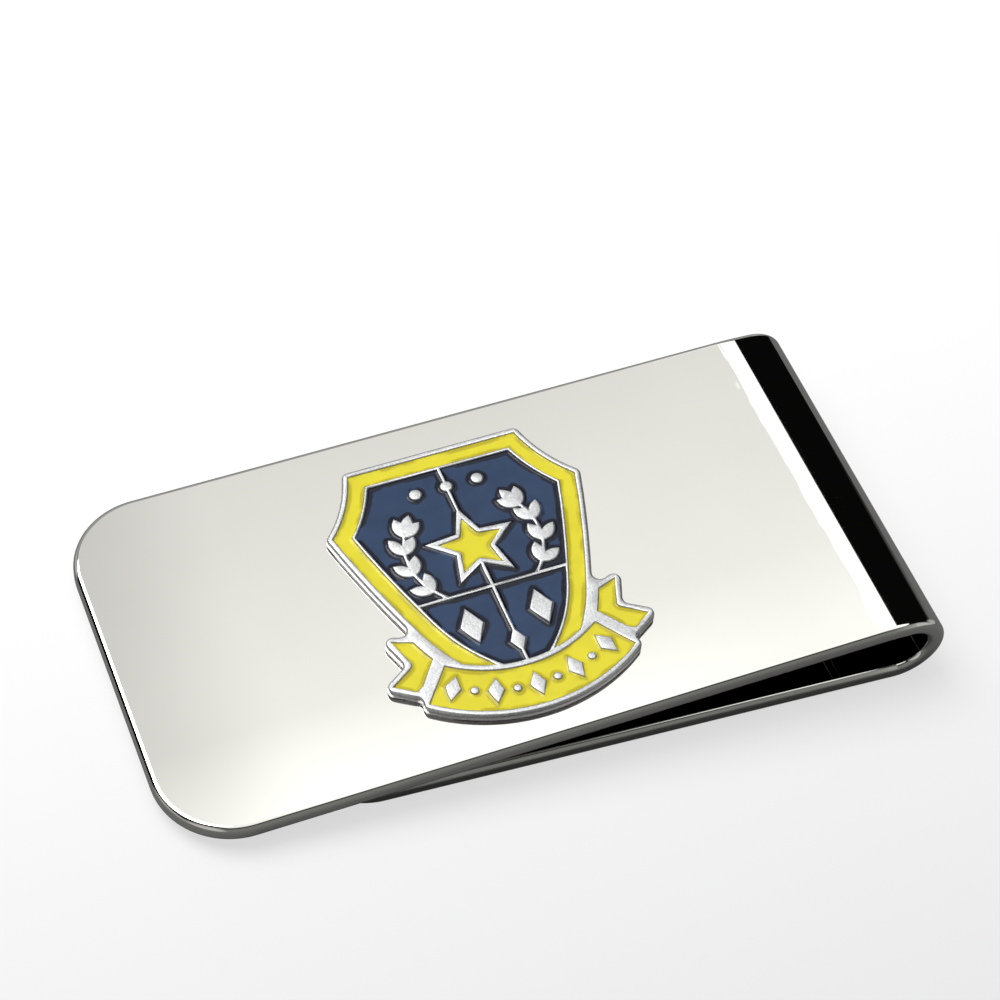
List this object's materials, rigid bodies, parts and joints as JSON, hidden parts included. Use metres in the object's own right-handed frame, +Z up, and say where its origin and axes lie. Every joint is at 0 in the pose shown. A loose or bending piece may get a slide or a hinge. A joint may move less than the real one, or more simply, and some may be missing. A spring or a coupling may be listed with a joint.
{
  "type": "money clip",
  "caption": "Spring-strip money clip, bent double from one polished metal strip, with a die-struck shield badge in soft enamel on its front face.",
  "frame": {"origin": "mid-length and mid-width of the clip, on the plane that the rear arm lies on", "axes": "+X along the clip from its open end to the bend, +Y across the clip towards the top of the badge, +Z up through the front face"},
  "size_m": [0.0508, 0.0254, 0.0057],
  "materials": {
    "polished_strip": "mirror-polished nickel plate on spring steel",
    "satin_badge": "satin, sand-blasted, with polished edges",
    "navy_enamel": "glossy soft enamel",
    "yellow_enamel": "glossy soft enamel",
    "adhesive": "clear acrylic film"
  },
  "bodies": {
    "arm_side": {"rear_arm": "polished_strip", "spring_loop": "polished_strip"},
    "face_side": {"front_plate": "polished_strip", "badge_adhesive": "adhesive", "badge_base": "satin_badge", "enamel_border": "yellow_enamel", "enamel_field_lower_left": "navy_enamel", "enamel_field_lower_right": "navy_enamel", "enamel_field_upper_left": "navy_enamel", "enamel_field_upper_right": "navy_enamel", "enamel_star": "yellow_enamel", "enamel_ribbon": "yellow_enamel", "enamel_tail_left": "yellow_enamel", "enamel_tail_right": "yellow_enamel"}
  },
  "joints": [
    {"name": "clip_open", "type": "hinge", "parent": "arm_side", "child": "face_side", "pos_m": [0.02328, 0, 0.00343], "axis": [0, 1, 0], "range_deg": [0, 8], "stiffness_Nm_per_rad": 4, "springref_deg": -1.72, "deforming": ["spring_loop"]}
  ]
}
